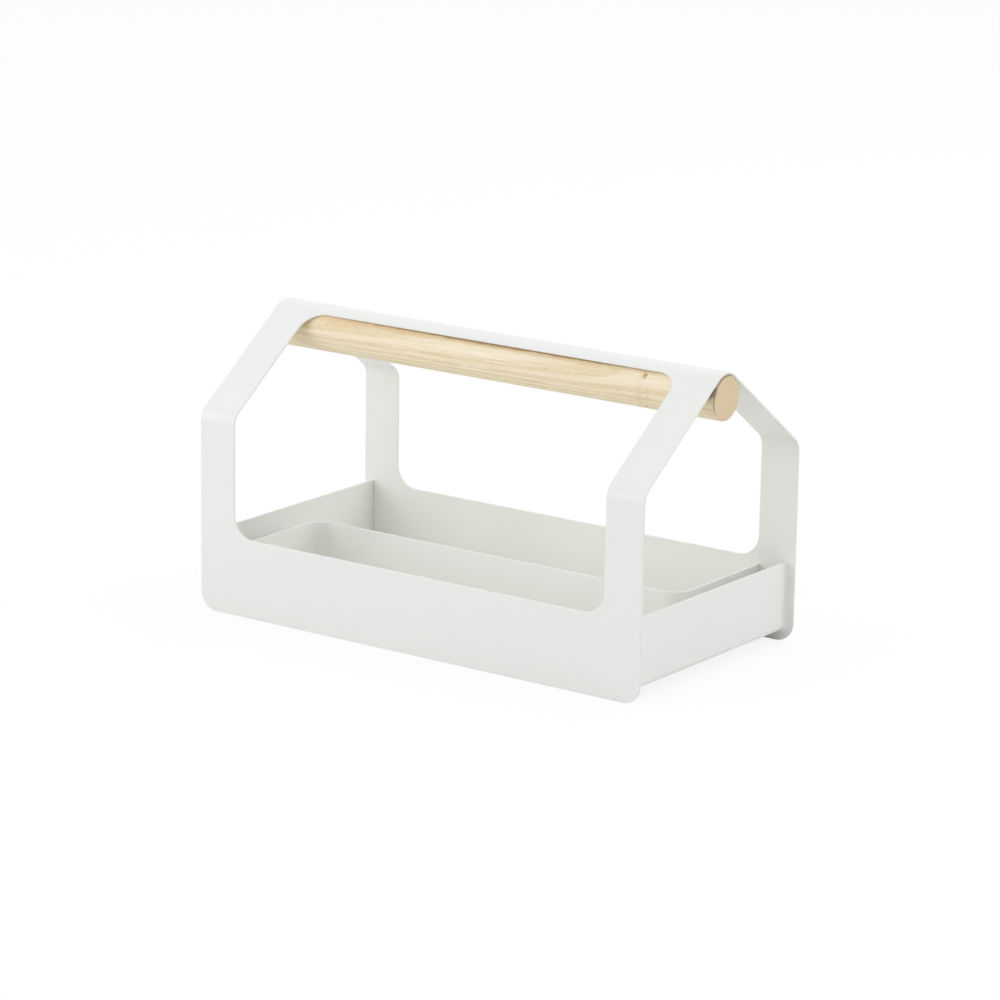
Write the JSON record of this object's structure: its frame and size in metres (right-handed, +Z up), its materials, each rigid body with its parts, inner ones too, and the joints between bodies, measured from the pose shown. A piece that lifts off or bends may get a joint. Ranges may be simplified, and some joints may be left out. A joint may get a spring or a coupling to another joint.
{
  "type": "tool tote",
  "caption": "Open tool tote of folded sheet metal with a pitched top, a round wooden handle along its ridge, and a shallow tray parted by a loose bent divider.",
  "frame": {"origin": "on the ground, at the middle of the tote's footprint", "axes": "+X along the handle, +Y from the front panel to the back panel, +Z up"},
  "size_m": [0.38, 0.193, 0.2116],
  "materials": {
    "powder_coat": "fine matt off-white powder coat on sheet steel",
    "oiled_ash": "sanded and lightly oiled, straight grain along the handle",
    "zinc_steel": "bright zinc plate"
  },
  "bodies": {
    "frame": {"frame_band": "powder_coat", "tray": "powder_coat", "handle_dowel": "oiled_ash", "handle_screw_left": "zinc_steel", "handle_screw_right": "zinc_steel"},
    "divider": {"divider": "powder_coat"}
  },
  "joints": [
    {"name": "divider_lift", "type": "slide", "parent": "frame", "child": "divider", "axis": [0, 0, 1], "range_m": [0, 0.085]}
  ]
}
